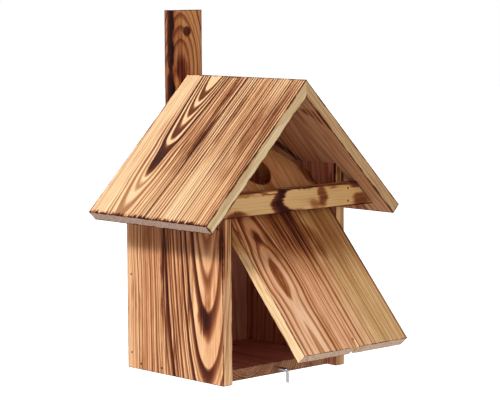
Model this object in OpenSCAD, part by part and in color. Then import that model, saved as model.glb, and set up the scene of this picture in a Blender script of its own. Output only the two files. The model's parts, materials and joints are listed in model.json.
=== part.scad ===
// Nest box of scorched pine boards: a gabled body, a front door that swings on two nails, and a hanging batten.
// Drawn with the door partly open. Millimetres, +X right, +Y back into the wall, +Z up.
// Origin: centre of the hanging batten's back face, the face that lies against the wall or tree.

/* [Body] */
// Width over the two side walls
body_w = 156; // [130:1:200]
// Depth of the side walls, front edge to back edge
body_d = 135; // [110:1:170]
// Height of the side walls at their inner face
wall_h = 194; // [175:1:240]
// Thickness of every board
board_t = 11; // [9:0.5:15]

/* [Roof] */
// Slope length of each roof board, ridge to eave
roof_len = 175; // [150:1:220]
// How far the roof runs out in front of the side walls
roof_overhang = 29; // [20:1:45]

/* [Door] */
// How far the door stands open
door_open = 41.4; // [0:0.1:90]
// Distance from the top of the walls' inner face down to the pivot nails
pivot_drop = 50.5; // [45:0.5:60]
// How far the shut door reaches below the foot of the walls
door_drop = 1; // [0:0.5:2]
// Gap on each side between door and wall
door_side_gap = 1; // [0.5:0.25:2]
// Gap between the shut door and the front plane of the walls
door_recess = 1; // [0.5:0.25:2]
// Gap between the shut door and the floor behind it
door_floor_gap = 0.5; // [0.5:0.25:2]
// Gap between the shut door's point and the roof, square to the roof
door_roof_gap = 1.5; // [1:0.25:3]
// Diameter of the entrance hole
entrance_d = 34; // [26:1:46]
// Distance from the underside of the ridge down to the entrance hole's centre
entrance_drop = 61; // [50:1:66]
// Width of the slot in the door's foot that passes the hook
slot_w = 4.5; // [4.5:0.25:8]
// Height of that slot
slot_h = 10; // [9.5:0.5:16]

/* [Crossbar] */
// Height of the crossbar's board
crossbar_h = 22; // [16:1:28]
// Distance from the pivot nails' centre line up to the crossbar's lower edge
crossbar_lift = 10.5; // [8:0.5:14]
// Gap between the crossbar's slanted ends and the roof, square to the roof
crossbar_gap = 0.7; // [0.5:0.1:2]

/* [Batten] */
// Width of the hanging batten
batten_w = 38; // [30:1:60]
// How far the hanging batten stands above the ridge
batten_rise = 62; // [40:0.5:100]
// Diameter of the hanging hole
hang_d = 9; // [6:0.5:12]
// Distance from the batten's top down to the hanging hole's centre
hang_drop = 20.5; // [14:0.5:28]

/* [Hook] */
// Diameter of the hook's wire
wire_d = 3; // [2:0.25:3.5]
// Radius of the hook's bend, to the middle of the wire
bend_r = 3; // [2.5:0.25:5]
// Length of the leg below the shank's centre line
leg_len = 12; // [9:0.5:20]
// Gap between the shut door and the leg
leg_gap = 2.5; // [1.5:0.25:5]
// Length of the shank inside the floor
shank_grip = 18; // [12:1:30]

/* [Nails] */
// Diameter of the nails that hold the boards
nail_d = 1.4; // [1.2:0.1:2]
// Diameter of their flush heads
nail_head_d = 2.2; // [2.2:0.1:3.5]
// Thickness of their heads
nail_head_t = 0.6; // [0.4:0.1:1]
// Length of the nails
nail_len = 28; // [24:1:35]
// Diameter of the two nails that the door swings on
pivot_d = 2; // [1.6:0.1:3]
// Running clearance round the pivot nails and the hook's shank, on the radius
running_gap = 0.05; // [0.02:0.01:0.1]

/* [Hidden] */
$fn = 48;
EPS = 0.01;        // lets a cutter run past the face it cuts
HALF = 45;         // slope of the roof, in degrees

inner_x = body_w / 2 - board_t;                      // inner face of a side wall
under_ridge_z = wall_h + inner_x;                    // underside of the roof at the ridge
ridge_z = under_ridge_z + board_t / cos(HALF);       // top of the roof
eave_x = roof_len * cos(HALF);
eave_z = ridge_z - eave_x;
back_y = body_d - board_t;                           // inner face of the back wall
batten_y = body_d + board_t;                         // back face of the batten
roof_y = -roof_overhang;
floor_y = door_recess + board_t + door_floor_gap;    // front edge of the floor
batten_len = ridge_z + batten_rise;                  // from the foot of the walls up

pivot_h = wall_h - pivot_drop;
pivot_y = door_recess + board_t / 2;
entrance_h = under_ridge_z - entrance_drop;
door_w = 2 * (inner_x - door_side_gap);
door_tip_z = under_ridge_z - door_roof_gap / cos(HALF);
door_shoulder_z = door_tip_z - door_w / 2;
pivot_grip = 14;                                     // length of a pivot nail inside the door

crossbar_z = pivot_h + crossbar_lift;
crossbar_top = crossbar_z + crossbar_h;
crossbar_edge = under_ridge_z - crossbar_gap / cos(HALF); // height plus half width along the slanted ends
// The rough lower edge of the crossbar: where the saw ran high, [x, how far up]
crossbar_bites = [
    [-54, 0.5], [-46, 1], [-38, 0.6], [-30, 0], [-14, 0.4], [-2, 1],
    [9, 0.8], [20, 0.2], [27, 0.2], [33, 1], [45, 0.6], [66, 0]
];

hook_z = board_t / 2;                                // the shank sits in the middle of the floor's edge
leg_y = door_recess - leg_gap - wire_d / 2;
hook_tip_len = 4;                                    // tapered point of the shank

nail_x = body_w / 2 - board_t / 2;                   // middle of a side wall's thickness
floor_nail_y = [27, back_y - 38, back_y - 8];
back_nail_low = 15;                                  // above the foot of the walls
back_nail_high = wall_h - board_t - 18;              // below the outer edge of the walls' top
back_nail_z = [back_nail_low, (back_nail_low + back_nail_high) / 2, back_nail_high];
roof_nail_front = nail_len - board_t + 5;            // behind the points of the crossbar's nails
roof_nail_back = body_d - 4;
roof_nail_y = [roof_nail_front, (roof_nail_front + roof_nail_back) / 2, roof_nail_back];
roof_nail_depth = 1;                                 // how far the roof nails are sunk
crossbar_nail_edge = 5;                              // from the crossbar's lower and upper edges
batten_nail_z = [25, 95, under_ridge_z - 46];

origin_y = batten_y;
origin_z = batten_len / 2;

// ---- helpers -------------------------------------------------------------------------------

// From the foot of the walls' front plane to the part's own origin
module in_frame() {
    translate([0, -origin_y, -origin_z]) children();
}

// The door's pose: turned about the pivot nails
module swung() {
    translate([0, pivot_y, pivot_h])
        rotate([-door_open, 0, 0])
            translate([0, -pivot_y, -pivot_h]) children();
}

// A board whose outline lies in the X-Z plane, running back from y
module upright(y, depth) {
    translate([0, y + depth, 0])
        rotate([90, 0, 0])
            linear_extrude(depth) children();
}

// A nail with a flush head, its head at the origin and its point along +Z
module nail(d, len) {
    cylinder(d = nail_head_d, h = nail_head_t);
    cylinder(d = d, h = len);
}

// ---- nails ---------------------------------------------------------------------------------

// Through a side wall, side = -1 left or 1 right
module side_nail(side, y, z, d, len) {
    translate([side * body_w / 2, y, z])
        rotate([0, -side * 90, 0]) nail(d, len);
}

module floor_nails(side) {
    for (y = floor_nail_y) side_nail(side, y, hook_z, nail_d, nail_len);
}

module back_nails(side) {
    for (z = back_nail_z) side_nail(side, body_d - board_t / 2, z, nail_d, nail_len);
}

module pivot_nail(side) {
    side_nail(side, pivot_y, pivot_h, pivot_d, board_t + door_side_gap + pivot_grip);
}

// Headless, driven plumb and sunk below the slope, into the top of a side wall
module roof_nails(side) {
    top = ridge_z - nail_x - nail_d / 2 - roof_nail_depth;
    for (y = roof_nail_y)
        translate([side * nail_x, y, top - nail_len]) cylinder(d = nail_d, h = nail_len);
}

module crossbar_nails(side) {
    for (z = [crossbar_z + crossbar_nail_edge, crossbar_top - crossbar_nail_edge])
        translate([side * nail_x, -board_t, z])
            rotate([-90, 0, 0]) nail(nail_d, nail_len);
}

module batten_nail_row() {
    for (z = batten_nail_z)
        translate([0, batten_y, z])
            rotate([90, 0, 0]) nail(nail_d, 2 * board_t - 2);
}

// The open pits above the sunk roof nails
module roof_nail_pits(side) {
    for (y = roof_nail_y)
        translate([side * nail_x, y, wall_h - board_t]) cylinder(d = nail_d, h = ridge_z);
}

// ---- boards --------------------------------------------------------------------------------

module floor_board() {
    difference() {
        translate([-inner_x, floor_y, 0]) cube([2 * inner_x, back_y - floor_y, board_t]);
        for (side = [-1, 1]) floor_nails(side);
        translate([0, floor_y - EPS, hook_z])
            rotate([-90, 0, 0]) cylinder(d = wire_d + 2 * running_gap, h = shank_grip + 1);
    }
}

module back_board() {
    difference() {
        upright(back_y, board_t)
            polygon([[-inner_x, 0], [inner_x, 0], [inner_x, wall_h], [0, under_ridge_z], [-inner_x, wall_h]]);
        for (side = [-1, 1]) back_nails(side);
        batten_nail_row();
    }
}

module side_wall(side) {
    difference() {
        upright(0, body_d)
            polygon([
                [side * body_w / 2, 0], [side * body_w / 2, wall_h - board_t],
                [side * inner_x, wall_h], [side * inner_x, 0]
            ]);
        floor_nails(side);
        back_nails(side);
        crossbar_nails(side);
        roof_nails(side);
        pivot_nail(side);
    }
}

module roof_board(side) {
    difference() {
        upright(roof_y, body_d - roof_y)
            polygon([
                [0, ridge_z], [side * eave_x, eave_z],
                [side * (eave_x - board_t * sin(HALF)), eave_z - board_t * cos(HALF)],
                [0, under_ridge_z]
            ]);
        roof_nail_pits(side);
    }
}

module door_outline() {
    half = door_w / 2;
    difference() {
        polygon([
            [-half, -door_drop], [half, -door_drop],
            [half, door_shoulder_z], [0, door_tip_z], [-half, door_shoulder_z]
        ]);
        translate([0, entrance_h]) circle(d = entrance_d);
        translate([-slot_w / 2, -door_drop - EPS]) square([slot_w, slot_h + EPS]);
    }
}

module shut_door() {
    difference() {
        upright(door_recess, board_t) door_outline();
        for (side = [-1, 1])
            translate([side * (door_w / 2 + EPS), pivot_y, pivot_h])
                rotate([0, -side * 90, 0]) cylinder(d = pivot_d + 2 * running_gap, h = pivot_grip + 1);
    }
}

module crossbar_board() {
    low = crossbar_edge - crossbar_z;
    high = crossbar_edge - crossbar_top;
    difference() {
        upright(-board_t, board_t)
            polygon([
                [-low, crossbar_z], for (b = crossbar_bites) [b[0], crossbar_z + b[1]],
                [low, crossbar_z], [high, crossbar_top], [-high, crossbar_top]
            ]);
        for (side = [-1, 1]) crossbar_nails(side);
    }
}

module batten_board() {
    difference() {
        translate([-batten_w / 2, body_d, 0]) cube([batten_w, board_t, batten_len]);
        translate([0, body_d - EPS, batten_len - hang_drop])
            rotate([-90, 0, 0]) cylinder(d = hang_d, h = board_t + 2 * EPS);
        batten_nail_row();
    }
}

// ---- hook ----------------------------------------------------------------------------------

// A turned wire: shank along Y, quarter bend, leg down
module wire_hook() {
    bend_y = leg_y + bend_r;
    straight = floor_y + shank_grip - bend_y - hook_tip_len;
    translate([0, bend_y, hook_z]) rotate([-90, 0, 0]) {
        cylinder(d = wire_d, h = straight);
        translate([0, 0, straight]) cylinder(d1 = wire_d, d2 = wire_d / 5, h = hook_tip_len);
    }
    translate([0, bend_y, hook_z - bend_r])
        rotate([0, 90, 0]) rotate([0, 0, 180])
            rotate_extrude(angle = 90) translate([bend_r, 0]) circle(d = wire_d);
    translate([0, leg_y, hook_z - leg_len]) cylinder(d = wire_d, h = leg_len - bend_r);
}

// ---- nodes ---------------------------------------------------------------------------------

module floor_panel() { color("#8a4b2c") in_frame() floor_board(); }
module back_wall() { color("#9c5a33") in_frame() back_board(); }
module left_wall() { color("#c98a52") in_frame() side_wall(-1); }
module right_wall() { color("#c98a52") in_frame() side_wall(1); }
module door() { color("#d39a5c") in_frame() swung() shut_door(); }
module left_roof_board() { color("#dba468") in_frame() roof_board(-1); }
module right_roof_board() { color("#dba468") in_frame() roof_board(1); }
module crossbar() { color("#e0b878") in_frame() crossbar_board(); }
module hanging_batten() { color("#b87440") in_frame() batten_board(); }
module latch_hook() { color("#b9bcc0") in_frame() wire_hook(); }
module left_pivot_nail() { color("#6f6a66") in_frame() pivot_nail(-1); }
module right_pivot_nail() { color("#6f6a66") in_frame() pivot_nail(1); }
module left_floor_nails() { color("#6f6a66") in_frame() floor_nails(-1); }
module right_floor_nails() { color("#6f6a66") in_frame() floor_nails(1); }
module left_back_nails() { color("#6f6a66") in_frame() back_nails(-1); }
module right_back_nails() { color("#6f6a66") in_frame() back_nails(1); }
module left_roof_nails() { color("#6f6a66") in_frame() roof_nails(-1); }
module right_roof_nails() { color("#6f6a66") in_frame() roof_nails(1); }
module left_crossbar_nails() { color("#6f6a66") in_frame() crossbar_nails(-1); }
module right_crossbar_nails() { color("#6f6a66") in_frame() crossbar_nails(1); }
module batten_nails() { color("#6f6a66") in_frame() batten_nail_row(); }

floor_panel();  // floor
back_wall();
left_wall();
right_wall();
door();
left_roof_board();
right_roof_board();
crossbar();
hanging_batten();
latch_hook();
left_pivot_nail();
right_pivot_nail();
left_floor_nails();
right_floor_nails();
left_back_nails();
right_back_nails();
left_roof_nails();
right_roof_nails();
left_crossbar_nails();
right_crossbar_nails();
batten_nails();
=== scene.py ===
# %% [markdown]
# # A nest box of scorched pine
#
# The box hangs on a wall or a tree by its batten. Its front is a door that swings on two nails, and a bent
# wire hook in the floor's front edge keeps it shut. Every board was scorched with a flame and brushed, which
# burns the soft wood between the yearly rings away and leaves the hard, dark rings standing. The shapes come
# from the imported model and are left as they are. This script gives each board its own figure of rings, and
# adds the light, the floor and the camera.

# %% Load the fixed frame
import json
import math
import bmesh
import bpy
from mathutils import Matrix, Vector


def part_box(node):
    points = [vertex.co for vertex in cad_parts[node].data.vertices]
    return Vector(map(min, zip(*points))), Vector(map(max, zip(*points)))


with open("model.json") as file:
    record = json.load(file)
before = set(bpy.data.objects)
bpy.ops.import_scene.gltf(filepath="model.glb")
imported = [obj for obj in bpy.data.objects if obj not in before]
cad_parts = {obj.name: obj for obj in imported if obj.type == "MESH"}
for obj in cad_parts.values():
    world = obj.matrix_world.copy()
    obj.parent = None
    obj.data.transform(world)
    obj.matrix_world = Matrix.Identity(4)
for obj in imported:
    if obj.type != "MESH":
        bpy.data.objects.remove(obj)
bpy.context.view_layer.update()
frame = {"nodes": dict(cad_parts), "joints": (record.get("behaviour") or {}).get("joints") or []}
nodes = frame["nodes"]
joints = {joint["name"]: joint for joint in frame["joints"]}

# %% [markdown]
# ## Boards and their own rulers
#
# A tree's rings run along the board, so each pattern has to know which way the grain lies. One texture laid
# through the whole box would be quick, but every board would look cut from the same block. Here each board
# gets a ruler of its own, in millimetres: across the board, into it from one face, and along the grain. A
# Mapping node turns object coordinates into it. The door stands open, so its ruler is turned with it, and it
# starts at the pivot nails.

# %% Rulers for the boards
MM = 1000.0
SLOPE = math.sqrt(0.5)  # how far a 45 degree slope goes across for each step along it


def ruler(zero, inward, along):
    """The turn and shift that take metres in the row frame to millimetres across, into and along a board."""
    t_axis = Vector(inward).normalized()
    l_axis = Vector(along).normalized()
    w_axis = t_axis.cross(l_axis)
    turn = Matrix((w_axis, t_axis, l_axis))
    return {"turn": turn.to_euler(), "shift": -(turn @ (Vector(zero) * MM))}


wall_low, wall_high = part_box("left_wall")
right_low, right_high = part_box("right_wall")
roof_low, roof_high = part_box("left_roof_board")
bar_low, bar_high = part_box("crossbar")
batten_low, batten_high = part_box("hanging_batten")
floor_low, floor_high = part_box("floor")
back_low, back_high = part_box("back_wall")
door_low, door_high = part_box("door")
board_t = (wall_high.x - wall_low.x) * MM
door_angle = -math.radians(joints["door_swing"]["range_deg"][0])
door_pivot = Vector(joints["door_swing"]["pos_m"])
door_down = Vector((0, -math.sin(door_angle), -math.cos(door_angle)))
door_in = Vector((0, math.cos(door_angle), -math.sin(door_angle)))
print("boards are", round(board_t, 2), "mm thick")
print("the door stands open", round(math.degrees(door_angle), 1), "degrees")

RULERS = {
    "left_roof_board": ruler((0, roof_low.y, roof_high.z), (SLOPE, 0, -SLOPE), (-SLOPE, 0, -SLOPE)),
    "right_roof_board": ruler((0, roof_low.y, roof_high.z), (-SLOPE, 0, -SLOPE), (SLOPE, 0, -SLOPE)),
    "left_wall": ruler((wall_low.x, wall_low.y, wall_high.z), (1, 0, 0), (0, 0, -1)),
    "right_wall": ruler((right_high.x, right_low.y, right_high.z), (-1, 0, 0), (0, 0, -1)),
    "door": ruler(door_pivot - door_in * board_t / 2 / MM, door_in, door_down),
    "crossbar": ruler((0, bar_low.y, bar_high.z), (0, 1, 0), (1, 0, 0)),
    "hanging_batten": ruler((0, batten_low.y, batten_high.z), (0, 1, 0), (0, 0, -1)),
    "floor": ruler((0, floor_low.y, floor_high.z), (0, 0, -1), (0, 1, 0)),
    "back_wall": ruler((0, back_low.y, back_high.z), (0, 1, 0), (0, 0, -1)),
}

# %% [markdown]
# ## Small tools for node trees
#
# A material is a chain of small sums, and writing each node out in full hides the idea. These helpers add
# one node, wire what they are given and hand back its output, so a pattern reads like a formula.

# %% Sums and mixes


def feed(tree, socket, value):
    """Wires an output to a socket, or types a plain value into it."""
    if isinstance(value, bpy.types.NodeSocket):
        tree.links.new(value, socket)
    else:
        socket.default_value = value


def sums(tree, operation, a, b=0.0, c=0.0):
    """One Math node."""
    node = tree.nodes.new("ShaderNodeMath")
    node.operation = operation
    for socket, value in zip(node.inputs, (a, b, c)):
        feed(tree, socket, value)
    return node.outputs[0]


def plus(tree, a, b):
    return sums(tree, "ADD", a, b)


def minus(tree, a, b):
    return sums(tree, "SUBTRACT", a, b)


def times(tree, a, b):
    return sums(tree, "MULTIPLY", a, b)


def vector_sums(tree, operation, a, b=(0, 0, 0), output="Vector"):
    """One Vector Math node."""
    node = tree.nodes.new("ShaderNodeVectorMath")
    node.operation = operation
    feed(tree, node.inputs[0], a)
    feed(tree, node.inputs[1], b)
    return node.outputs[output]


def step(tree, value, start, end, low=0.0, high=1.0, kind="SMOOTHSTEP"):
    """Goes from low to high as value goes from start to end."""
    node = tree.nodes.new("ShaderNodeMapRange")
    node.interpolation_type = kind
    ends = {"Value": value, "From Min": start, "From Max": end, "To Min": low, "To Max": high}
    for name, end_value in ends.items():
        feed(tree, node.inputs[name], end_value)
    return node.outputs["Result"]


# %% [markdown]
# Wood is uneven at every size, so noise is in each mask. It is stretched along the grain, as fibres are. A
# picture of noise would do too, but it repeats, and it blurs in a close view.

# %% Noise


def grains(tree, vector, stretch, scale=1.0, detail=2.0, rough=0.5, seed=0.0):
    """Noise stretched along a board: the share that each direction counts for is in stretch."""
    pulled = vector_sums(tree, "MULTIPLY", vector, stretch)
    moved = vector_sums(tree, "ADD", pulled, (seed, seed * 1.7, seed * 0.6))
    node = tree.nodes.new("ShaderNodeTexNoise")
    feed(tree, node.inputs["Vector"], moved)
    node.inputs["Scale"].default_value = scale
    node.inputs["Detail"].default_value = detail
    node.inputs["Roughness"].default_value = rough
    return node.outputs["Fac"]


def either_way(tree, noise, reach):
    """Noise as a shift to one side or the other."""
    return times(tree, minus(tree, noise, 0.5), reach)


# %% [markdown]
# What several materials share is kept once, as a node group with named sockets. Copying the nodes into each
# material would work too, but a mend would then have to be made nine times.

# %% Node groups


def new_group(name, inputs, outputs):
    """An empty node group with its sockets, its input node and its output node."""
    tree = bpy.data.node_groups.new(name, "ShaderNodeTree")
    for title, kind in inputs:
        tree.interface.new_socket(title, in_out="INPUT", socket_type="NodeSocket" + kind)
    for title, kind in outputs:
        tree.interface.new_socket(title, in_out="OUTPUT", socket_type="NodeSocket" + kind)
    return tree, tree.nodes.new("NodeGroupInput").outputs, tree.nodes.new("NodeGroupOutput").inputs


def use(tree, group, **values):
    """Puts a group into a tree and wires its inputs by name."""
    node = tree.nodes.new("ShaderNodeGroup")
    node.node_tree = group
    for name, value in values.items():
        feed(tree, node.inputs[name], value)
    return node.outputs


# %% [markdown]
# ## Yearly rings
#
# Rings are shells round the tree's heart. A board is a flat slice through them, so what its face shows
# depends on how far the heart lies behind the face and on how that depth changes along the board. Where the
# depth changes, the shells are cut into nested arches. Where it hardly does, they are straight lines. So the
# pattern is the distance to the heart's line, worked out in all three directions: the same shells then meet
# at the edges and curve across the ends, as they do on sawn wood.

# %% The distance to the heart
ring_group, given, result = new_group(
    "distance to the heart",
    [("Board", "Vector"), ("Heart", "Float"), ("Depth", "Float"), ("Point", "Float"), ("Wander", "Float"),
     ("Seed", "Float")],
    [("Distance", "Float")],
)
tree = ring_group
seeded = tree.nodes.new("ShaderNodeCombineXYZ")
feed(tree, seeded.inputs[0], given["Seed"])
split = tree.nodes.new("ShaderNodeSeparateXYZ")
feed(tree, split.inputs[0], given["Board"])
spread = vector_sums(tree, "MULTIPLY", given["Board"], (0.022, 0.022, 0.007))
slow = grains(tree, vector_sums(tree, "ADD", spread, seeded.outputs[0]), (1, 1, 1), detail=1.0)
placed = vector_sums(tree, "ADD", given["Board"], seeded.outputs[0])
fine = grains(tree, placed, (0.11, 0.11, 0.022), detail=2.0)
bends = grains(tree, placed, (0.055, 0.055, 0.019), detail=2.0)
sway = either_way(tree, slow, times(tree, given["Wander"], 2.0))
sway = plus(tree, sway, either_way(tree, fine, plus(tree, 0.6, given["Wander"])))
sway = plus(tree, sway, either_way(tree, bends, given["Wander"]))
side = sums(tree, "ABSOLUTE", plus(tree, minus(tree, split.outputs[0], given["Heart"]), sway))
straight = step(tree, side, 40.0, 105.0, 1.0, 0.1)
side = plus(tree, side, given["Point"])
behind = plus(tree, times(tree, given["Depth"], straight), split.outputs[1])
squares = plus(tree, times(tree, side, side), times(tree, behind, behind))
feed(tree, result["Distance"], minus(tree, sums(tree, "SQRT", squares), given["Point"]))
print("ring group has", len(tree.nodes), "nodes")

# %% [markdown]
# One year's growth is pale, soft wood that darkens outwards and stops at a sharp line. No two years are
# alike, so two numbers drawn for each year set how wide and how dark its hard band is.

# %% One year's growth
year_group, given, result = new_group(
    "hard band of each year",
    [("Year", "Float"), ("Share", "Float"), ("Uneven", "Float"), ("Seed", "Float")],
    [("Band", "Float")],
)
tree = year_group
pair = tree.nodes.new("ShaderNodeCombineXYZ")
feed(tree, pair.inputs[0], sums(tree, "FLOOR", given["Year"]))
feed(tree, pair.inputs[1], given["Seed"])
dice = tree.nodes.new("ShaderNodeTexWhiteNoise")
dice.noise_dimensions = "2D"
feed(tree, dice.inputs["Vector"], pair.outputs[0])
luck = tree.nodes.new("ShaderNodeSeparateColor")
feed(tree, luck.inputs[0], dice.outputs["Color"])
part = sums(tree, "FRACT", given["Year"])
width = times(tree, given["Share"], step(tree, luck.outputs[0], 0, 1, 0.7, 1.3, "LINEAR"))
start = minus(tree, 1.0, width)
rise = step(tree, part, minus(tree, start, 0.14), plus(tree, start, 0.06))
deepen = step(tree, part, start, 1.0, 0.72, 1.0, "LINEAR")
stop = step(tree, part, 0.93, 1.0, 1.0, 0.0)
strength = minus(tree, 1.0, times(tree, given["Uneven"], luck.outputs[1]))
feed(tree, result["Band"], times(tree, times(tree, rise, deepen), times(tree, stop, strength)))
print("year group has", len(tree.nodes), "nodes")

# %% [markdown]
# ## Smudges and arrises
#
# The flame rested longer in some places than in others, and it bit deepest where two faces meet, because a
# sharp arris burns from both sides. A smudge is a soft oval placed on the board: most are burns, and a few
# are painted shade. The arris tool finds how far a point lies from the nearest arris: of the distances to the
# board's three pairs of faces, one is nothing, and the next one up is the distance wanted. A slanted end has
# no straight pair of faces, so its distance comes in by itself.

# %% Smudges and the distance to an arris
smudge_group, given, result = new_group(
    "smudge",
    [("Board", "Vector"), ("Middle", "Vector"), ("Reach", "Vector"), ("Strength", "Float")],
    [("Smudge", "Float")],
)
tree = smudge_group
away = vector_sums(tree, "SUBTRACT", given["Board"], given["Middle"])
far = vector_sums(tree, "LENGTH", vector_sums(tree, "DIVIDE", away, given["Reach"]), output="Value")
feed(tree, result["Smudge"], times(tree, step(tree, far, 1.0, 0.35), given["Strength"]))

arris_group, given, result = new_group(
    "distance to an arris",
    [("Board", "Vector"), ("Low", "Vector"), ("High", "Vector"), ("Tip", "Float")],
    [("Distance", "Float")],
)
tree = arris_group
from_low = vector_sums(tree, "SUBTRACT", given["Board"], given["Low"])
from_high = vector_sums(tree, "SUBTRACT", given["High"], given["Board"])
three = tree.nodes.new("ShaderNodeSeparateXYZ")
feed(tree, three.inputs[0], vector_sums(tree, "MINIMUM", from_low, from_high))
first = three.outputs[0]
second = three.outputs[1]
third = sums(tree, "MINIMUM", three.outputs[2], given["Tip"])
small = sums(tree, "MINIMUM", first, second)
large = sums(tree, "MINIMUM", sums(tree, "MAXIMUM", first, second), third)
feed(tree, result["Distance"], sums(tree, "MAXIMUM", small, large))
print("smudge group has", len(smudge_group.nodes), "nodes and arris group", len(arris_group.nodes))

# %% [markdown]
# ## The scorched and brushed surface
#
# Scorched wood does not turn grey, it goes from straw to orange brown to near black, because blue light is
# swallowed first and red last. So every mask adds to one depth of burn, the painted shade among them, and
# each colour fades at its own rate as the depth grows. Mixing a brown paint in would be simpler, but the
# half tones would look muddy. First comes the clean wood: the main face, the sawn edges, the ends and the
# far face have tones of their own, because the brush and the weather treated them differently. On the
# walls, the roof and the door the far face is inside the box, and its redder tone there partly paints the
# warm light bounced about in there.

# %% The clean wood


def blend(tree, share, a, b, kind="MIX"):
    """Colour a with its share of colour b laid over it."""
    node = tree.nodes.new("ShaderNodeMix")
    node.data_type = "RGBA"
    node.blend_type = kind
    node.clamp_factor = True
    feed(tree, node.inputs["Factor"], share)
    feed(tree, node.inputs[6], a)
    feed(tree, node.inputs[7], b)
    return node.outputs[2]


pine_group, given, result = new_group(
    "scorched pine",
    [("Board", "Vector"), ("Normal", "Vector"), ("Band", "Float"), ("Scorch", "Float"), ("Streaky", "Float"),
     ("Wash", "Float"), ("EndShare", "Float"), ("EdgeShare", "Float"), ("InsideShare", "Float"),
     ("Fibre", "Float"), ("Arris", "Float"), ("Char", "Float"), ("Tint", "Float"), ("Pale", "Color"),
     ("Warm", "Color"), ("Other", "Color"), ("Edge", "Color"), ("End", "Color"), ("Inside", "Color"),
     ("Thirst", "Vector")],
    [("Colour", "Color"), ("Roughness", "Float"), ("Height", "Float")],
)
tree = pine_group
facing = tree.nodes.new("ShaderNodeSeparateXYZ")
feed(tree, facing.inputs[0], vector_sums(tree, "ABSOLUTE", given["Normal"]))
signed = tree.nodes.new("ShaderNodeSeparateXYZ")
feed(tree, signed.inputs[0], given["Normal"])
on_edge = step(tree, facing.outputs[0], 0.6, 0.8)
on_end = step(tree, facing.outputs[2], 0.55, 0.8)
on_inside = step(tree, signed.outputs[1], 0.6, 0.8)

fibres = grains(tree, given["Board"], (1.1, 1.1, 0.02), detail=4.0, rough=0.65)
threads = grains(tree, given["Board"], (1.8, 1.8, 0.03), detail=2.0, rough=0.6)
streaks = grains(tree, given["Board"], (0.42, 0.42, 0.005), detail=2.0, rough=0.6, seed=5.0)
clouds = grains(tree, given["Board"], (0.035, 0.035, 0.009), detail=3.0, rough=0.55, seed=3.0)
soot = grains(tree, given["Board"], (0.13, 0.13, 0.05), detail=4.0, rough=0.6, seed=7.0)
specks = grains(tree, given["Board"], (1.5, 1.5, 1.5), detail=3.0, rough=0.7, seed=11.0)

clean = blend(tree, step(tree, clouds, 0.38, 0.66), given["Pale"], given["Warm"])
clean = blend(tree, given["Tint"], clean, given["Other"])
clean = blend(tree, on_edge, clean, given["Edge"])
clean = blend(tree, on_inside, clean, given["Inside"])
clean = blend(tree, on_end, clean, given["End"])
print("clean wood takes", len(tree.nodes), "nodes")

# %% [markdown]
# Then comes the depth of burn. Edges, ends and the far face each take their own share of rings and smoke,
# mostly a small one, because the flame reached them less. Fine fibres break every tone up, because a brushed
# face is made of threads, and the arrises are charred to an uneven width.

# %% The depth of burn


def keep(tree, mask, share):
    """Leaves only a share of the burn where the mask is on."""
    return minus(tree, 1.0, times(tree, mask, minus(tree, 1.0, share)))


drawn = keep(tree, on_edge, given["EdgeShare"])
drawn = times(tree, drawn, keep(tree, on_end, given["EndShare"]))
drawn = times(tree, drawn, keep(tree, on_inside, given["InsideShare"]))

mottle = times(tree, step(tree, soot, 0.3, 0.6, 0.6, 1.15), step(tree, streaks, 0.36, 0.64, 0.0, 1.8))
mottle = plus(tree, times(tree, mottle, given["Streaky"]), minus(tree, 1.0, given["Streaky"]))
smoke = times(tree, given["Scorch"], mottle)
burn = times(tree, given["Band"], step(tree, threads, 0.25, 0.65, 0.8, 1.1, "LINEAR"))
burn = times(tree, plus(tree, burn, smoke), drawn)
burn = plus(tree, burn, times(tree, step(tree, fibres, 0.5, 0.8, 0.0, 0.3, "LINEAR"), given["Fibre"]))
burn = plus(tree, burn, given["Wash"])
burn = plus(tree, burn, times(tree, step(tree, specks, 0.45, 0.72, 0.0, 0.5), on_end))
bite = times(tree, given["Char"], step(tree, soot, 0.34, 0.68, 0.25, 1.5))
char = step(tree, given["Arris"], bite, 0.0)
burn = plus(tree, burn, times(tree, char, 1.3))
print("depth of burn brings it to", len(tree.nodes), "nodes")

# %% [markdown]
# Last, the depth is turned into colour. Thirst says how fast red, green and blue are swallowed, down to the
# black of soot. The tones are mixed as a painter sees them and only then turned into light. The hard rings
# and the fibres stand up a little, which the height tells, and soot is duller than wood.

# %% From burn to colour, roughness and height
SOOT_BLACK = (0.10, 0.06, 0.05)

thirst = tree.nodes.new("ShaderNodeSeparateXYZ")
feed(tree, thirst.inputs[0], given["Thirst"])
left_over = tree.nodes.new("ShaderNodeCombineXYZ")
for i in range(3):
    eaten = times(tree, times(tree, burn, thirst.outputs[i]), -1.0)
    feed(tree, left_over.inputs[i], sums(tree, "EXPONENT", eaten))
wood = vector_sums(tree, "SUBTRACT", clean, SOOT_BLACK)
wood = vector_sums(tree, "MULTIPLY", wood, left_over.outputs[0])
wood = vector_sums(tree, "ADD", wood, SOOT_BLACK)
wood = blend(tree, 1.0, wood, plus(tree, 0.94, times(tree, threads, 0.12)), "MULTIPLY")
to_light = tree.nodes.new("ShaderNodeGamma")
to_light.inputs["Gamma"].default_value = 2.2
feed(tree, to_light.inputs["Color"], wood)
feed(tree, result["Colour"], to_light.outputs[0])

dull = plus(tree, 0.58, times(tree, smoke, 0.1))
dull = plus(tree, dull, times(tree, char, 0.16))
feed(tree, result["Roughness"], plus(tree, dull, times(tree, fibres, 0.12)))
high = plus(tree, times(tree, given["Band"], 0.3), times(tree, fibres, 0.5))
high = plus(tree, high, times(tree, threads, 0.12))
feed(tree, result["Height"], plus(tree, high, times(tree, times(tree, specks, on_end), 0.5)))
print("finish group has", len(tree.nodes), "nodes")

# %% [markdown]
# ## One board, one material
#
# The recipe is shared, but the numbers are each board's own: where its heart ran, how deep, how wide its
# years are, which part met the flame, and which colours it has. A shared material would be less work, but
# the boards would look cloned. These are the values of a board that says nothing else. Lines are lists of
# (place, value) points, with the places in millimetres across the board or along it.

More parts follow.
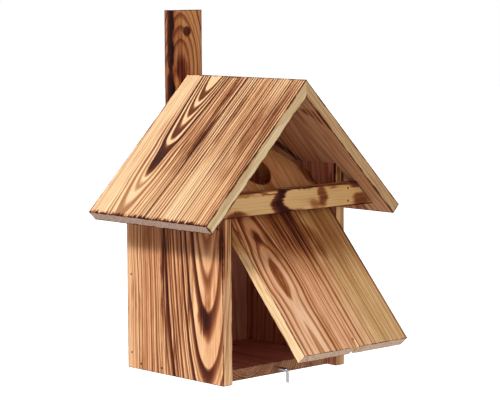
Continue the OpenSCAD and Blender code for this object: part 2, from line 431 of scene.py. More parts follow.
# %% What an ordinary board looks like
USUAL = {
    # the rings: the heart's depth along the board, squared, which every board says, and how even they are
    "heart": 0.0, "depth": None, "point": 5.0, "wander": 1.5, "spacing": 4.0, "share": 0.42, "uneven": 0.6,
    "ring": 1.1, "seed": 1.0,
    # bands listed one by one, where the drawn years take over from them, and how strong those are in between
    "bands": (), "fades": "start", "after": None, "between": 1.0,
    # how the rings fade across the board and along it
    "fade": None, "band_along": None,
    # the smoke, with some painted shade: across and along the board, in ovals, in trails, at the foot and in
    # chance blots
    "across": None, "along": None, "smudges": (), "trails": (), "inner_trails": (), "foot": None,
    "blot": 0.0, "streaky": 1.0,
    # a darkening along the board, and the rim of a hole at (across, along, radius), both partly painted shade
    "wash": None, "hole": None,
    # the share of burn on ends, sawn edges and the far face, which on a wall is the inner one
    "end_share": 0.2, "edge_share": 0.2, "inside_share": 0.25,
    # fine fibres, the width of the charred arrises, and a function for slanted ends
    "fibre": 1.0, "char": 0.8, "tip": None,
    # the colours, and a function for where the board turns to its other tone
    "colours": {}, "tint": None, "thirst": (1.0, 1.45, 1.8),
}
# Inside is redder: on faces inside the box it partly paints the warm light bounced about in there
PAINTS = {"Pale": "#f2c493", "Warm": "#e4ad7c", "Other": "#dcb682", "Edge": "#ecc898", "End": "#d3bcae",
          "Inside": "#c98a6a"}


def tone(code, painted=False):
    """A colour as a painter would note it, #rrggbb. Painted leaves the note as it is, for mixing by eye."""
    parts = [int(code[i:i + 2], 16) / 255 for i in (1, 3, 5)]
    if painted:
        return tuple(parts) + (1.0,)
    return tuple(p / 12.92 if p < 0.04045 else ((p + 0.055) / 1.055) ** 2.4 for p in parts) + (1.0,)


print("an ordinary board has", len(USUAL), "settings and", len(PAINTS), "colours")

# %% [markdown]
# ## Four steps to a material
#
# First, the ruler goes into nodes. The place and the face's normal are both turned to lie along the board,
# so a pattern can tell the main face from an edge or an end. A slot for each kind of face would do it too,
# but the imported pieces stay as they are.

# %% Step one, the ruler


def board_ruler(tree, board):
    """The place on the board's own ruler in millimetres, and the face's normal turned the same way."""
    place = tree.nodes.new("ShaderNodeTexCoord")
    mapping = tree.nodes.new("ShaderNodeMapping")
    mapping.inputs["Rotation"].default_value = RULERS[board]["turn"]
    mapping.inputs["Location"].default_value = RULERS[board]["shift"]
    mapping.inputs["Scale"].default_value = (MM, MM, MM)
    feed(tree, mapping.inputs["Vector"], place.outputs["Object"])
    turned = tree.nodes.new("ShaderNodeMapping")
    turned.vector_type = "VECTOR"
    turned.inputs["Rotation"].default_value = RULERS[board]["turn"]
    feed(tree, turned.inputs["Vector"], place.outputs["Normal"])
    return mapping.outputs[0], turned.outputs[0]


# %% [markdown]
# What a board looks like in one place is given as lines and bands in millimetres on its ruler. Noise
# alone would be less work, but it never gives the eye, the arches or the burnt trail that this box has. A
# line is a Float Curve, and a row of bands is a Color Ramp.

# %% Lines and bands
BANDS_IN_A_RAMP = 7  # four stops a band, and a ramp holds 32


def curve(tree, value, points):
    """A line drawn through (value, result) points."""
    places = [point[0] for point in points]
    results = [point[1] for point in points]
    left = min(places)
    right = max(places)
    bottom = min(results)
    top = max(results) + 1e-6
    node = tree.nodes.new("ShaderNodeFloatCurve")
    line = node.mapping.curves[0]
    while len(line.points) < len(points):
        line.points.new(0.5, 0.5)
    for spot, (x, y) in zip(line.points, points):
        spot.location = ((x - left) / (right - left), (y - bottom) / (top - bottom))
        spot.handle_type = "AUTO_CLAMPED"
    node.mapping.update()
    feed(tree, node.inputs["Value"], step(tree, value, left, right, kind="LINEAR"))
    return step(tree, node.outputs["Value"], 0.0, 1.0, bottom, top, kind="LINEAR")


def band_stops(start, end, dark, fades):
    """The ramp stops of one hard band, which is soft on the side that fades names and sharp on the other."""
    if fades == "start":
        return [(start - 0.4, 0.0), (start * 0.6 + end * 0.4, dark * 0.6), (end - 0.4, dark),
                (end + 0.3, 0.0)]
    if fades == "end":
        return [(start - 0.3, 0.0), (start + 0.3, dark), (start * 0.5 + end * 0.5, dark * 0.75),
                (end + 0.4, 0.0)]
    return [(start - 0.3, 0.0), (start + 0.4, dark * 0.9), (end - 0.3, dark), (end + 0.3, 0.0)]


def stripes(tree, value, bands, fades):
    """Hard bands, listed: each is (where it starts, where it stops, how dark)."""
    if len(bands) > BANDS_IN_A_RAMP:
        first = stripes(tree, value, bands[:BANDS_IN_A_RAMP], fades)
        return sums(tree, "MAXIMUM", first, stripes(tree, value, bands[BANDS_IN_A_RAMP:], fades))
    span = bands[-1][1] + 1.0
    node = tree.nodes.new("ShaderNodeValToRGB")
    ramp = node.color_ramp
    for end_stop in ramp.elements:
        end_stop.color = (0, 0, 0, 1)
    for start, end, strength in bands:
        for place, dark in band_stops(start, end, strength, fades):
            share = min(max(place / span, 0.0), 0.999)
            ramp.elements.new(share).color = (dark, dark, dark, 1)
    feed(tree, node.inputs[0], sums(tree, "DIVIDE", value, span))
    return node.outputs[0]


# %% [markdown]
# Second come the rings. Near the heart, each hard band that stands out on the box is listed one by one.
# Further off, the drawn years go on by themselves.

# %% Step two, the rings


def ring_bands(tree, place, w, l, look):
    """How hard and dark the wood is: bands listed near the heart, and drawn years beyond them."""
    seed = look["seed"]
    bands = look["bands"]
    heart = curve(tree, l, look["heart"]) if isinstance(look["heart"], list) else look["heart"]
    depth = sums(tree, "SQRT", curve(tree, l, look["depth"]))
    away = use(tree, ring_group, Board=place, Heart=heart, Depth=depth, Point=look["point"],
               Wander=look["wander"], Seed=seed)["Distance"]
    first = look["after"] or (bands[-1][1] if bands else 0.0)
    fat_years = tree.nodes.new("ShaderNodeTexNoise")
    fat_years.noise_dimensions = "1D"
    fat_years.inputs["Detail"].default_value = 2.0
    feed(tree, fat_years.inputs["W"], sums(tree, "MULTIPLY_ADD", away, 0.09, seed))
    year = sums(tree, "DIVIDE", minus(tree, away, first), look["spacing"])
    year = plus(tree, year, times(tree, fat_years.outputs["Fac"], 1.1))
    band = use(tree, year_group, Year=year, Share=look["share"], Uneven=look["uneven"], Seed=seed)["Band"]
    if bands:
        band = times(tree, band, step(tree, away, first + 0.2, first + 0.6, 0.0, look["between"]))
        band = sums(tree, "MAXIMUM", band, stripes(tree, away, bands, look["fades"]))
    if look["fade"]:
        band = times(tree, band, curve(tree, w, look["fade"]))
    if look["band_along"]:
        band = times(tree, band, curve(tree, l, look["band_along"]))
    return times(tree, band, look["ring"])


# %% [markdown]
# Third come the marks of the flame, with some painted shade laid on in the same way. Fire draws no clean
# border: it wanders, and it frays along the fibres. So the place is shifted by noise before ovals and trails
# are laid on it. Softening a clean shape would be simpler, but it would look sprayed on.

# %% Step three, the marks of the flame and painted shade
WOBBLE = 14.0  # mm that the border of a burn wanders, from one side to the other
FEATHER = 10.0  # mm that it frays along the fibres


def trail(tree, w, l, path, half, strength, wobble):
    """A burnt trail across a board, once partly painted shade. Path is its middle and half is half its width,
    both as lines.
    """
    off = sums(tree, "ABSOLUTE", plus(tree, minus(tree, l, curve(tree, w, path)), wobble))
    return times(tree, step(tree, sums(tree, "DIVIDE", off, curve(tree, w, half)), 1.25, 0.5), strength)


def flame_marks(tree, place, w, t, l, look):
    """What the flame added, with some painted shade: blots, lines of smoke, ovals and trails, with ragged
    borders.
    """
    seed = look["seed"]
    distort = grains(tree, place, (0.06, 0.06, 0.03), detail=3.0, rough=0.6, seed=seed)
    wobble = either_way(tree, distort, WOBBLE)
    feathers = grains(tree, place, (0.9, 0.9, 0.02), detail=3.0, rough=0.6, seed=seed + 2.0)
    feather = either_way(tree, feathers, FEATHER)
    shifted = tree.nodes.new("ShaderNodeCombineXYZ")
    feed(tree, shifted.inputs[0], wobble)
    feed(tree, shifted.inputs[2], plus(tree, wobble, feather))
    bent = vector_sums(tree, "ADD", place, shifted.outputs[0])
    ragged = sums(tree, "MULTIPLY_ADD", wobble, 0.5, feather)
    patchy = grains(tree, place, (0.05, 0.05, 0.009), detail=3.0, rough=0.6, seed=seed + 5.0)
    scorch = step(tree, patchy, 0.5, 0.72, 0.0, look["blot"])
    if look["across"]:
        scorch = plus(tree, scorch, curve(tree, w, look["across"]))
    if look["along"]:
        scorch = times(tree, scorch, curve(tree, l, look["along"]))
    for middle, reach, strength in look["smudges"]:
        oval = use(tree, smudge_group, Board=bent, Middle=middle, Reach=reach, Strength=strength)["Smudge"]
        scorch = plus(tree, scorch, oval)
    for path, half, strength in look["trails"]:
        scorch = plus(tree, scorch, trail(tree, w, l, path, half, strength, ragged))
    for path, half, strength in look["inner_trails"]:
        inner = trail(tree, w, l, path, half, strength, ragged)
        scorch = plus(tree, scorch, times(tree, inner, step(tree, t, 6.0, 10.0)))
    if look["foot"]:
        first, last, reach = look["foot"]
        spikes = grains(tree, place, (0.55, 0.55, 0.01), detail=2.0, rough=0.6, seed=seed + 9.0)
        frayed = plus(tree, l, either_way(tree, spikes, reach))
        scorch = plus(tree, scorch, step(tree, frayed, first, last, 0.0, 1.0))
    return scorch


# %% [markdown]
# Last is a darkening along the board. On the left wall it is painted shade under the eave, and on the
# door it is partly burn and partly painted shade under the roof. A drilled hole is darker round its rim
# and inside, partly burnt and partly painted shade.

# %% Step four, a darkening along the board


def even_wash(tree, w, l, look):
    """A darkening along the board, partly painted shade, and darker round its drilled hole."""
    washed = curve(tree, l, look["wash"]) if look["wash"] else 0.0
    if look["hole"]:
        hole_w, hole_l, radius = look["hole"]
        square_w = sums(tree, "POWER", minus(tree, w, hole_w), 2.0)
        square_l = sums(tree, "POWER", minus(tree, l, hole_l), 2.0)
        off = sums(tree, "SQRT", plus(tree, square_w, square_l))
        washed = plus(tree, washed, step(tree, off, radius + 1.0, radius + 0.2, 0.0, 0.4))
    return washed


# %% [markdown]
# The steps meet in one function, which each board calls once. It refuses a setting that it doesn't know.

# %% A material for one board
RELIEF = 0.0002  # metres between heights 0 and 1 of the relief
NO_SLANT = 1000.0  # mm, for a board without slanted ends


def new_material(name):
    """A plain material, its node tree and its shader."""
    material = bpy.data.materials.new(name)
    material.use_nodes = True
    tree = material.node_tree
    return material, tree, tree.nodes["Principled BSDF"]


def board_material(name, board, low, high, **own):
    """Scorched pine. low and high are the board's corners on its own ruler, own is what sets it apart."""
    assert set(own) <= set(USUAL), name + " has an unknown setting"
    look = dict(USUAL, **own)
    material, tree, shader = new_material(name)
    place, normal = board_ruler(tree, board)
    parts = tree.nodes.new("ShaderNodeSeparateXYZ")
    feed(tree, parts.inputs[0], place)
    w = parts.outputs[0]
    t = parts.outputs[1]
    l = parts.outputs[2]
    slant = look["tip"](tree, w, l) if look["tip"] else NO_SLANT
    tint = look["tint"](tree, w, l) if look["tint"] else 0.0
    arris = use(tree, arris_group, Board=place, Low=low, High=high, Tip=slant)["Distance"]
    paints = {slot: tone(code, painted=True) for slot, code in dict(PAINTS, **look["colours"]).items()}
    finish = use(
        tree, pine_group, Board=place, Normal=normal, Band=ring_bands(tree, place, w, l, look),
        Scorch=flame_marks(tree, place, w, t, l, look), Streaky=look["streaky"],
        Wash=even_wash(tree, w, l, look), EndShare=look["end_share"], EdgeShare=look["edge_share"],
        InsideShare=look["inside_share"], Fibre=look["fibre"], Arris=arris, Char=look["char"], Tint=tint,
        Thirst=look["thirst"], **paints)
    feed(tree, shader.inputs["Base Color"], finish["Colour"])
    feed(tree, shader.inputs["Roughness"], finish["Roughness"])
    shader.inputs["Specular IOR Level"].default_value = 0.12
    bump = tree.nodes.new("ShaderNodeBump")
    bump.inputs["Strength"].default_value = 0.5
    bump.inputs["Distance"].default_value = RELIEF
    feed(tree, bump.inputs["Height"], finish["Height"])
    feed(tree, shader.inputs["Normal"], bump.outputs["Normal"])
    nodes[board].data.materials.clear()
    nodes[board].data.materials.append(material)
    print(name, "has", len(tree.nodes), "nodes")


# %% [markdown]
# ## The roof boards
#
# The left slope is the face that the light falls on. Its rear part was cut over the heart, so it carries a
# row of nested arches that point down the slope. The front part is straight lines, with a smoky patch
# between them and the arches. Its foot is charred in spikes. The right slope shows its underside, with a
# burnt trail across it and a dark band along the door's slanted edge, partly soot and partly painted shadow
# of the gap. It is drawn as if it were cut from the same plank.

# %% The two roof boards
roof_w = (roof_high.y - roof_low.y) * MM
roof_l = (roof_high.x - roof_low.x) * MM / SLOPE
board_material(
    "roof board left", "left_roof_board", (0, 0, 0), (roof_w, board_t, roof_l),
    heart=121.0, point=0.3, fades="neither", spacing=3.3, share=0.36, wander=0.8, uneven=0.5, ring=1.3,
    depth=[(0, 0), (32, 100), (52, 170), (80, 253), (91, 317), (124, 386), (143, 462), (160, 529),
           (185, 625)],
    bands=[(7.6, 9.8, 0.85), (11.2, 12.8, 0.85), (14.1, 15.7, 0.95), (17.4, 19.5, 1.25), (20.4, 21.3, 0.45),
           (22.9, 24.7, 0.55), (27.0, 28.3, 0.55), (29.6, 30.6, 0.6), (33.7, 34.7, 0.7), (36.5, 37.6, 0.7),
           (39.4, 40.0, 0.5), (42.2, 44.2, 1.2)],
    fade=[(0, 0.8), (20, 0.8), (40, 0.9), (70, 1.0), (100, 1.0), (138, 1.0), (143, 0.2), (164, 0.12)],
    band_along=[(0, 1.0), (100, 1.0), (130, 0.68), (175, 0.6)],
    across=[(0, 0.25), (12, 0.15), (25, 0.14), (38, 0.02), (60, 0.02), (76, 0.15), (84, 0.3), (96, 0.22),
            (104, 0.08), (118, 0.0), (164, 0.0)],
    along=[(0, 1.0), (105, 1.0), (130, 0.35), (175, 0.25)],
    smudges=[((50, 0, 45), (16, 30, 75), 0.38), ((7, 0, 45), (9, 30, 55), 0.3),
             ((92, 0, 28), (8, 30, 30), 0.45), ((81, 0, 80), (6, 30, 38), 0.5),
             ((26, 0, 60), (11, 30, 44), 0.4), ((97, 0, 78), (7, 30, 30), 0.4),
             ((120, 0, 108), (10, 30, 18), 0.35), ((2, 0, 120), (7, 30, 80), 0.5)],
    foot=(171, 175.5, 7.0), end_share=0.05, edge_share=0.12, char=1.5, blot=0.1, seed=1.0,
    colours={"Pale": "#f8d2a4", "Warm": "#f3c494", "Edge": "#e3cca0", "Inside": "#c98a58"})
board_material(
    "roof board right", "right_roof_board", (-roof_w, 0, 0), (0, board_t, roof_l),
    heart=-40.0, spacing=4.2, share=0.4, wander=3.0, ring=0.9,
    depth=[(0, 900), (90, 700), (175, 500)],
    band_along=[(0, 0.8), (110, 0.9), (175, 1.5)],
    inner_trails=[([(-30, 26), (-14, 34), (-6, 40), (0, 46)],
                   [(-30, 0.3), (-20, 3), (-10, 9), (0, 14)], 0.7),
                  # this band along the door's slanted edge is partly soot and partly painted shadow of the gap
                  ([(-100, 76), (-91, 83), (-83, 94), (-75, 110), (-70, 122)],
                   [(-106, 0.3), (-98, 8), (-76, 7), (-70, 3), (-64, 0.2)], 1.2)],
    end_share=0.05, inside_share=0.45, char=1.4, blot=0.5, seed=9.0,
    colours={"Edge": "#bb986f", "Inside": "#d09c74"})

# %% [markdown]
# ## The walls
#
# The left wall has straight, dark years at the back and one broad run of arches near its front edge, whose
# hard bands burnt almost black. The right wall is made up in the same manner. Their tops are cut to the
# roof's slope and lie under the roof boards, so no arris is burnt there.

# %% The side walls
body_d = (wall_high.y - wall_low.y) * MM
wall_l = (wall_high.z - wall_low.z) * MM
above_wall = -20  # mm: the slanted top isn't an arris that shows
board_material(
    "wall board left", "left_wall", (0, 0, above_wall), (body_d, board_t, wall_l),
    heart=[(0, 20), (60, 21.5), (120, 20.5), (194, 20.5)], point=1.5, fades="end", after=44.0, between=0.4,
    spacing=2.7, share=0.4, wander=1.1, uneven=0.7, ring=1.15,
    depth=[(0, 700), (11, 750), (41, 870), (66, 980), (111, 1200), (136, 1400), (161, 1600), (187, 1905),
           (194, 1990)],
    bands=[(26.4, 27.4, 0.55), (29.4, 30.4, 0.45), (31.9, 33.1, 0.65), (35.2, 37.9, 1.4), (41.5, 43.8, 1.4),
           (46.5, 48.6, 1.4), (51.2, 52.5, 0.75), (55.0, 56.6, 1.0), (58.3, 59.2, 0.75), (60.0, 61.3, 0.9),
           (62.9, 65.5, 1.5), (66.6, 67.7, 0.75), (72.7, 73.5, 0.5), (75.0, 76.2, 0.8), (78.5, 79.3, 0.35),
           (81.1, 82.5, 0.85), (89.0, 89.9, 0.4), (93.1, 94.3, 0.7), (97.7, 99.1, 0.8), (102.6, 103.3, 0.3),
           (106.7, 107.6, 0.35)],
    fade=[(0, 0.5), (10, 0.55), (18, 0.95), (26, 1.0), (74, 1.0), (86, 0.95), (135, 0.95)],
    # the darkening of the wall's top, down to about 80 mm, is painted shade that deepens the eave's shadow
    wash=[(0, 0.16), (66, 0.16), (84, 0.0), (194, 0.0)],
    across=[(0, 0.08), (30, 0.03), (55, 0.06), (70, 0.14), (75, 0.3), (79, 0.4), (83, 0.2), (90, 0.1),
            (104, 0.12), (114, 0.06), (135, 0.05)],
    smudges=[((81, 0, 115), (8, 30, 70), 0.5), ((28, 0, 137), (9, 30, 18), 0.5),
             ((46, 0, 100), (9, 30, 60), 0.4), ((0, 0, 50), (5, 30, 62), 1.8),
             ((6, 0, 20), (14, 30, 34), 0.5), ((36, 0, 30), (12, 30, 40), 0.3)],
    edge_share=0.28, char=0.8, blot=0.2, seed=2.0,
    colours={"Pale": "#f9c999", "Warm": "#eeb687", "Edge": "#f6cb9a", "Inside": "#f2a878"})
board_material(
    "wall board right", "right_wall", (-body_d, 0, above_wall), (0, board_t, wall_l),
    heart=-60.0, spacing=4.4, share=0.42, wander=2.0, ring=1.1,
    depth=[(0, 1600), (194, 700)],
    # these smudges at the top of the front edge and the inner face are partly burn and partly painted shade
    # under the roof
    smudges=[((0, 5, 8), (5, 12, 26), 3.5), ((-4, 11, 18), (8, 6, 18), 1.2)],
    blot=0.45, char=0.8, seed=5.0,
    colours={"Pale": "#f3bc88", "Warm": "#e6a975", "Edge": "#c09a6c", "Inside": "#c08068"})

# %% [markdown]
# ## The door
#
# The door swings out at the foot, so the light rakes over it. Down its left side a wave in the trunk was
# sliced through, which leaves a closed eye with an arch above it and another starting below. The middle is
# straight and dark, and the right side is paler and greener. Its places are told from the pivot nails, with
# the tip above them and the foot below.

# %% The door
door_w = (door_high.x - door_low.x) * MM
NO_ARRIS = 400.0  # mm, well off the board: it has no square end there
door_tip = -115.4
door_foot = 144.5
entrance_l = -56.5  # the middle of the entrance hole
entrance_r = 17.0  # and its radius


def door_slants(tree, w, l):
    """Distance to the two slanted edges at the door's top."""
    return times(tree, minus(tree, minus(tree, l, door_tip), sums(tree, "ABSOLUTE", w)), SLOPE)


def door_tint(tree, w, l):
    """The right third is the greener heartwood side, and the warmer top is hardly tinted."""
    return times(tree, step(tree, w, -36.0, -2.0, 1.0, 0.0), step(tree, l, -34.0, 2.0, 0.2, 1.0))


board_material(
    "door board", "door", (-door_w / 2, 0, -NO_ARRIS), (door_w / 2, board_t, door_foot),
    heart=44.0, point=3.0, after=76.0, between=0.6, spacing=2.8, share=0.4, wander=1.1, uneven=0.7, ring=0.7,
    depth=[(-116, 700), (-20, 420), (8, 280), (24, 201), (40, 72), (64, 0), (88, 72), (99, 88), (110, 72),
           (145, 39)],
    bands=[(-1.0, 6.0, 0.75), (11.0, 13.6, 0.95), (17.3, 20.0, 1.4), (22.3, 23.4, 0.9), (25.2, 26.0, 0.5),
           (30.5, 31.2, 0.4), (34.1, 35.0, 0.75), (38.9, 40.1, 0.95), (43.4, 44.0, 0.3), (47.0, 48.4, 1.15),
           (52.9, 54.8, 1.4), (58.0, 58.7, 0.45), (64.0, 65.2, 0.95), (68.4, 69.5, 0.85), (74.5, 75.2, 0.4),
           (80.7, 81.7, 0.5), (85.8, 86.7, 0.45), (90.7, 91.7, 0.5), (97.0, 97.8, 0.4),
           (103.0, 103.8, 0.35)],
    fade=[(-66, 0.9), (-25, 0.9), (-12, 0.9), (0, 1.0), (20, 1.0), (30, 0.85), (66, 0.8)],
    band_along=[(-116, 0.3), (-30, 0.35), (0, 1.15), (50, 1.0), (90, 0.75), (145, 0.75)],
    across=[(-66, 1.8), (-65, 1.2), (-64, 0.1), (-40, 0.06), (-18, 0.06), (-9, 0.22), (2, 0.15), (14, 0.1),
            (22, 0.18), (30, 0.02), (66, 0.0)],
    along=[(-116, 1.0), (40, 1.0), (90, 0.55), (145, 0.45)],
    # the wide smudges 2 to 16 mm below the pivot are partly burn and partly painted shade under the crossbar
    smudges=[((4, 0, 8), (28, 30, 44), 0.6), ((-10, 0, 16), (12, 30, 40), 0.35),
             # the smudge at (66, 6, 8), on the top of the left edge, is painted shade from the roof
             ((66, 6, 8), (3, 14, 40), 1.1), ((-24, 0, 30), (14, 30, 24), 0.28),
             ((33, 0, 28), (9, 30, 22), 0.22), ((44, 0, 16), (6, 30, 12), 1.1),
             ((44, 0, 63), (5.5, 30, 28), 0.6), ((-48, 0, 14), (22, 30, 34), 0.15),
             ((50, 0, 2), (34, 30, 40), 0.12), ((-64, 0, -50), (14, 30, 18), 0.9)],
    # the darkening towards the top is partly burn and partly painted shade under the roof and the crossbar
    wash=[(-116, 0.24), (-40, 0.22), (0, 0.16), (30, 0.14), (48, 0.1), (70, 0.05), (145, 0.02)],
    # the hole's wall and rim are darker, partly burnt and partly painted shade inside the hole
    hole=(0.0, entrance_l, entrance_r),
    tip=door_slants, tint=door_tint, streaky=0.6, fibre=1.5, char=0.6, blot=0.12, seed=3.0,
    # the steep thirst for blue warms these darkened parts, which paints warm light bounced off the roof
    thirst=(1.0, 1.55, 2.3),
    colours={"Pale": "#f3c8a7", "Warm": "#e9b794", "Other": "#d9b789", "Edge": "#fbdcb0", "End": "#dcc8ba"})

# %% [markdown]
# ## The crossbar
#
# The crossbar was hardly brushed. It is pale straw with faint lines, and the flame left big soft blots on
# it. The darkest is a trail from edge to edge, drawn twice, with a blacker core inside a brown border.

# %% The crossbar
bar_h = (bar_high.z - bar_low.z) * MM
bar_half = (bar_high.x - bar_low.x) / 2 * MM


def bar_slants(tree, w, l):
    """Distance to the crossbar's two slanted ends."""
    reach = plus(tree, minus(tree, bar_half, sums(tree, "ABSOLUTE", l)), minus(tree, w, bar_h))
    return times(tree, reach, SLOPE)


board_material(
    "crossbar board", "crossbar", (0, 0, -NO_ARRIS), (bar_h, board_t, NO_ARRIS),
    heart=-40.0, spacing=2.4, share=0.35, wander=1.5, ring=0.05,
    depth=[(-110, 900), (110, 400)],
    trails=[([(0, -15), (6, -18), (11, -20), (16, -17), (22, -8)],
             [(0, 6), (11, 8), (17, 9), (22, 15)], 1.25),
            ([(0, -15), (6, -16), (11, -17), (16, -14), (22, -6)],
             [(0, 3), (11, 4.5), (17, 5), (22, 11)], 0.9)],
    # the dark lower edge is a charred arris and painted shadow of the gap above the door
    across=[(0, 0.5), (1, 0.3), (2, 0.0), (20.2, 0.0), (21.2, 1.0), (22, 1.8)],
    smudges=[((9, 0, 38), (15, 30, 8), 0.7), ((16, 0, 28), (6, 30, 8), 0.35),
             ((0, 0, 51), (5, 30, 11), 0.45), ((0, 0, 10), (1.6, 30, 90), 0.8),
             ((22, 0, -70), (7, 30, 18), 0.9), ((19, 0, 91), (9, 30, 15), 0.7),
             ((0, 0, 82), (6, 30, 12), 0.9), ((22, 0, 2), (6, 30, 18), 0.6),
             ((0, 0, -60), (4, 30, 22), 0.4)],
    tip=bar_slants, streaky=0.15, fibre=0.3, char=0.9, blot=0.2, seed=4.0, thirst=(1.0, 1.6, 2.1),
    colours={"Pale": "#caa26f", "Warm": "#bf9661", "Edge": "#cfa068", "Inside": "#cf9a62", "End": "#cf9a62"})

# %% [markdown]
# ## The batten, the floor and the back
#
# The batten is a narrow strip from near the heart, so its rings arch strongly. Its left edge was burnt far
# darker than its face. The floor and the back are deep in the box and took the flame evenly. Their faces
# inside the box are redder, which partly paints the warm light bounced about in there. The floor shows the
# arcs of its end grain at the front. The back has broad, soft rings and grows darker towards the foot.

# %% The batten, the floor and the back wall
batten_w = (batten_high.x - batten_low.x) * MM
batten_l = (batten_high.z - batten_low.z) * MM
inside_half = (floor_high.x - floor_low.x) / 2 * MM
floor_d = (floor_high.y - floor_low.y) * MM
back_l = (back_high.z - back_low.z) * MM
board_material(
    "batten board", "hanging_batten", (-batten_w / 2, 0, 0), (batten_w / 2, board_t, batten_l),
    heart=8.3, point=1.5, spacing=4.2, share=0.42, wander=0.8, ring=0.68,
    depth=[(0, 600), (10, 450), (23, 256), (43, 56), (63, 3), (120, 90), (200, 20), (280, 140), (339, 60)],
    bands=[(10.2, 12.5, 0.75), (15.6, 18.0, 0.75), (20.6, 22.4, 0.75)],
    across=[(-19, 0.2), (-10, 0.08), (10, 0.08), (15, 0.2), (19, 0.3)],
    smudges=[((7, 0, 60), (9, 30, 24), 1.05), ((20, 2, 120), (4, 7, 220), 2.6)],
    hole=(0.0, 20.5, 4.5),
    edge_share=1.0, streaky=0.35, char=0.9, blot=0.3, seed=6.0, thirst=(1.0, 1.6, 2.0),
    colours={"Pale": "#cb9562", "Warm": "#bd8454", "Edge": "#c99a70", "Inside": "#c08858"})
board_material(
    "floor board", "floor", (-inside_half, 0, 0), (inside_half, board_t, floor_d),
    heart=-36.0, spacing=2.6, share=0.4, wander=2.0, ring=0.4,
    depth=[(0, 520), (112, 250)],
    inside_share=0.9, end_share=1.3, blot=0.3, seed=7.0,
    colours={"Pale": "#d89686", "Warm": "#c88878", "End": "#aa7f62", "Inside": "#b9734c"})
board_material(
    "back board", "back_wall", (-inside_half, 0, 0), (inside_half, board_t, back_l),
    heart=-22.0, point=2.0, spacing=10.0, share=0.4, wander=6.0, ring=0.2,
    depth=[(0, 2400), (110, 1700), (250, 90), (261, 60)],
    wash=[(0, 0.0), (150, 0.0), (215, 0.14), (261, 0.28)],
    inside_share=2.4, blot=0.15, seed=8.0,
    colours={"Pale": "#e2a68e", "Warm": "#d69880", "Edge": "#a9694a", "Inside": "#d29a6a"})

# %% [markdown]
# ## Steel
#
# The hook is bent from zinc-plated wire and is the one bright thing on the box. Plating has fine draw lines
# and slightly cloudy patches. The nails were dull to begin with and went through the flame.

# %% Steel for the hook and the nails


def steel(name, bright, dark, rough_low, rough_high):
    """Metal in two close tones, with fine lines that roughen it."""
    material, tree, shader = new_material(name)
    place = tree.nodes.new("ShaderNodeTexCoord").outputs["Object"]
    cloud = grains(tree, place, (900, 500, 500), detail=4.0, rough=0.6)
    lines = grains(tree, place, (4000, 500, 2500), detail=2.0)
    colour = blend(tree, step(tree, cloud, 0.35, 0.65), tone(bright), tone(dark))
    feed(tree, shader.inputs["Base Color"], colour)
    feed(tree, shader.inputs["Roughness"], step(tree, lines, 0.3, 0.7, rough_low, rough_high, "LINEAR"))
    shader.inputs["Metallic"].default_value = 1.0
    bump = tree.nodes.new("ShaderNodeBump")
    bump.inputs["Strength"].default_value = 0.3
    bump.inputs["Distance"].default_value = 0.00005
    feed(tree, bump.inputs["Height"], lines)
    feed(tree, shader.inputs["Normal"], bump.outputs["Normal"])
    return material


zinc = steel("zinc plated wire", "#c9ccd2", "#a2a6ad", 0.22, 0.38)
nail = steel("scorched nail steel", "#4a3c34", "#2a201b", 0.5, 0.75)
steel_pieces = {name: nail for name in nodes if "nail" in name}
steel_pieces["latch_hook"] = zinc
for name, material in steel_pieces.items():
    nodes[name].data.materials.clear()
    nodes[name].data.materials.append(material)
print("pieces of steel:", len(steel_pieces))

# %% [markdown]
# ## Camera
#
# The box is seen from its front left, a little from above, through a long lens, which keeps its upright
# lines nearly parallel. The camera is placed by a turn, a tilt and a slight roll, as on a tripod head.
# Aiming it at a point would be shorter, but would leave the roll out.

# %% Camera
turn = Matrix.Rotation(math.radians(-42.9613), 4, "Z")
tilt = Matrix.Rotation(math.pi / 2 - math.radians(6.1822), 4, "X")
roll = Matrix.Rotation(math.radians(-0.3379), 4, "Z")
stand = Matrix.Translation((-1.29783, -1.49251, 0.19787))
camera_data = bpy.data.cameras.new("camera")
camera_data.lens = 146.43
camera_data.sensor_width = 36.0
camera_data.clip_end = 50.0
camera = bpy.data.objects.new("camera", camera_data)
camera.matrix_world = stand @ turn @ tilt @ roll
bpy.context.scene.collection.objects.link(camera)
bpy.context.scene.camera = camera
print("the camera stands", round(stand.translation.length, 2), "m off")

# %% [markdown]
# ## Light and floor
#
# One soft key light stands on the left, about 39 degrees up, and draws the eaves' shadow on the wall. A low
# reflector in front fills the faces that look forward, and a weak lamp behind keeps the far side from going
# black. All are as far off as the sun, so they fall alike on every part of the box.

# %% Lamps


def lamp(name, towards, strength, spread):
    """A lamp as far off as the sun. Spread is how wide it looks, in degrees, and softens the shadows."""
    data = bpy.data.lights.new(name, "SUN")
    data.energy = strength
    data.angle = math.radians(spread)
    thing = bpy.data.objects.new(name, data)
    thing.rotation_euler = Vector(towards).to_track_quat("-Z", "Y").to_euler()
    thing.location = (0, 0, 1)
    bpy.context.scene.collection.objects.link(thing)


lamp("key light", (0.776, -0.030, -0.630), 2.5, 10)
lamp("front reflector", (0.10, 0.97, -0.10), 1.65, 50)
lamp("back light", (-0.6, -0.6, -0.35), 0.8, 30)
print("lamps:", len(bpy.data.lights))

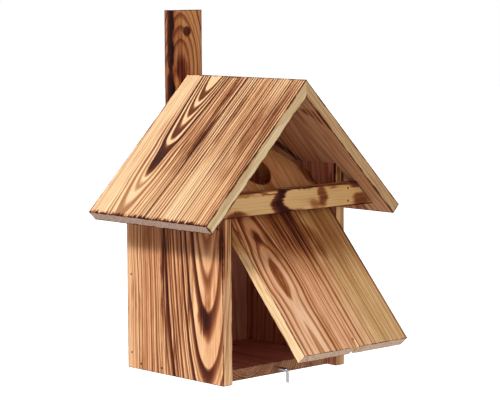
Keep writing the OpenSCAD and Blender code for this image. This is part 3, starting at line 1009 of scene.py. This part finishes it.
# %% [markdown]
# The world is white where it is seen or mirrored, for the background. The light that it casts is turned
# down, or it would wash the shadows out.

# %% World
WORLD_LIGHT = 0.27

world = bpy.data.worlds.new("studio")
bpy.context.scene.world = world
world.use_nodes = True
tree = world.node_tree
sky = tree.nodes["Background"]
seen = tree.nodes.new("ShaderNodeLightPath")
mirrored = sums(tree, "MAXIMUM", seen.outputs["Is Glossy Ray"], seen.outputs["Is Transmission Ray"])
shown = sums(tree, "MAXIMUM", seen.outputs["Is Camera Ray"], mirrored)
feed(tree, sky.inputs["Strength"], step(tree, shown, 0, 1, WORLD_LIGHT, 1.0, "LINEAR"))
sky.inputs["Color"].default_value = (1, 1, 1, 1)
print("world light:", WORLD_LIGHT)

# %% [markdown]
# The floor lies well below, because the box hangs. It is pale and glows faintly for the camera, so it melts
# into the white background.

# %% Floor
FLOOR_SIZE = 40.0
FLOOR_Z = -1.3

sheet = bmesh.new()
bmesh.ops.create_grid(sheet, x_segments=1, y_segments=1, size=FLOOR_SIZE / 2)
bmesh.ops.translate(sheet, verts=sheet.verts, vec=(0, 0, FLOOR_Z))
ground_mesh = bpy.data.meshes.new("studio_floor")
sheet.to_mesh(ground_mesh)
sheet.free()
ground = bpy.data.objects.new("studio_floor", ground_mesh)
bpy.context.scene.collection.objects.link(ground)
ground_material, tree, shader = new_material("pale floor")
shader.inputs["Base Color"].default_value = (0.8, 0.8, 0.8, 1)
shader.inputs["Roughness"].default_value = 0.9
shader.inputs["Emission Color"].default_value = (1, 1, 1, 1)
seen = tree.nodes.new("ShaderNodeLightPath")
feed(tree, shader.inputs["Emission Strength"], times(tree, seen.outputs["Is Camera Ray"], 0.5))
ground.data.materials.append(ground_material)
print("floor:", FLOOR_SIZE, "m wide, at", FLOOR_Z, "m")

# %% [markdown]
# ## View settings
#
# Nothing here moves or changes an imported piece. Colours are shown as they are, without a film look.

# %% View settings
bpy.context.scene.view_settings.view_transform = "Standard"
